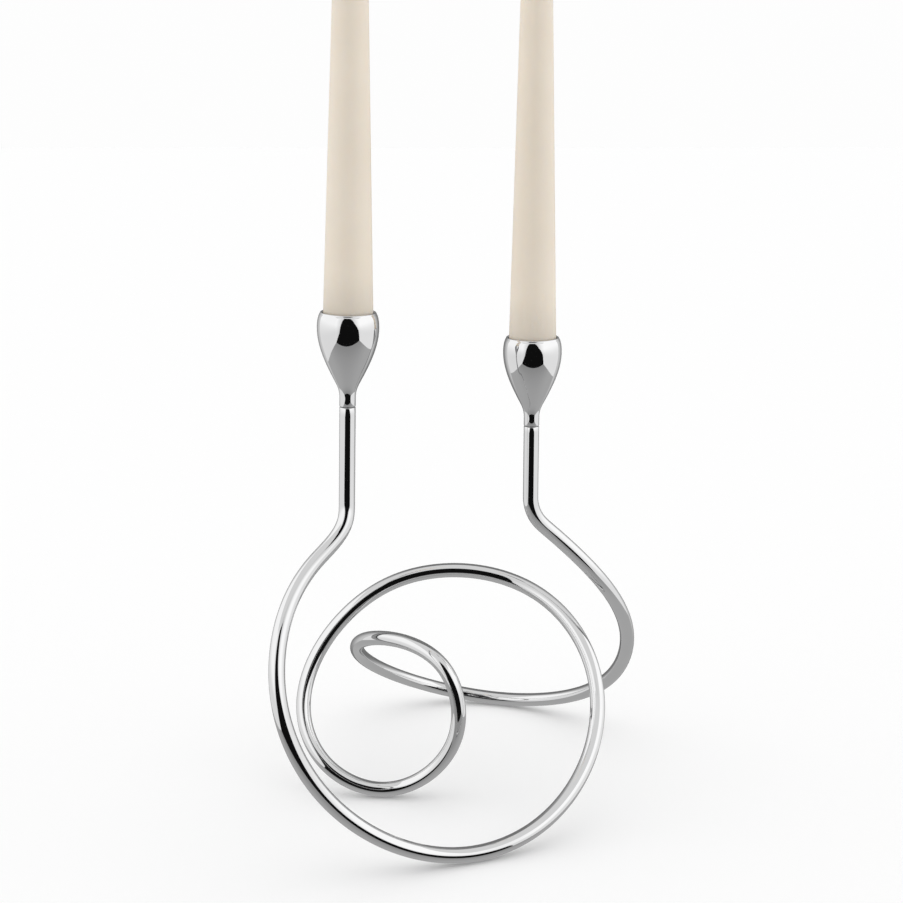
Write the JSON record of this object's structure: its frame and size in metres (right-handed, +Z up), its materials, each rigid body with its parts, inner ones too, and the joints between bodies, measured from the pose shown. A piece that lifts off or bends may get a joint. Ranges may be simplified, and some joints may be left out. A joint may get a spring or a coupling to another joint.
{
  "type": "double candle holder",
  "caption": "Free-standing candle holder: a polished round rod bent into an open spiral that stands on its own curves, a tulip cup with a taper candle on each upturned end.",
  "frame": {"origin": "on the table, under the middle of the whole object's bounding box", "axes": "+Z up, along the candles; +X to the right and +Y away from the viewer of the picture, so the taller left arm is at -X"},
  "size_m": [0.1678, 0.2004, 0.4633],
  "materials": {
    "rod": "mirror-polished plating on bent steel rod",
    "cup": "mirror-polished plating on a turned steel cup",
    "stud": "zinc-plated threaded stud",
    "candle": "smooth ivory wax, slightly translucent",
    "wick": "braided cotton"
  },
  "bodies": {
    "base": {"bent_rod": "rod", "left_stud": "stud", "right_stud": "stud", "left_cup": "cup", "right_cup": "cup"},
    "left_taper": {"left_candle": "candle", "left_wick": "wick"},
    "right_taper": {"right_candle": "candle", "right_wick": "wick"}
  },
  "joints": [
    {"name": "left_candle_lift", "type": "slide", "parent": "base", "child": "left_taper", "axis": [0.0227, 0, 0.9997], "range_m": [0, 0.03]},
    {"name": "right_candle_lift", "type": "slide", "parent": "base", "child": "right_taper", "axis": [0, 0, 1], "range_m": [0, 0.03]}
  ]
}
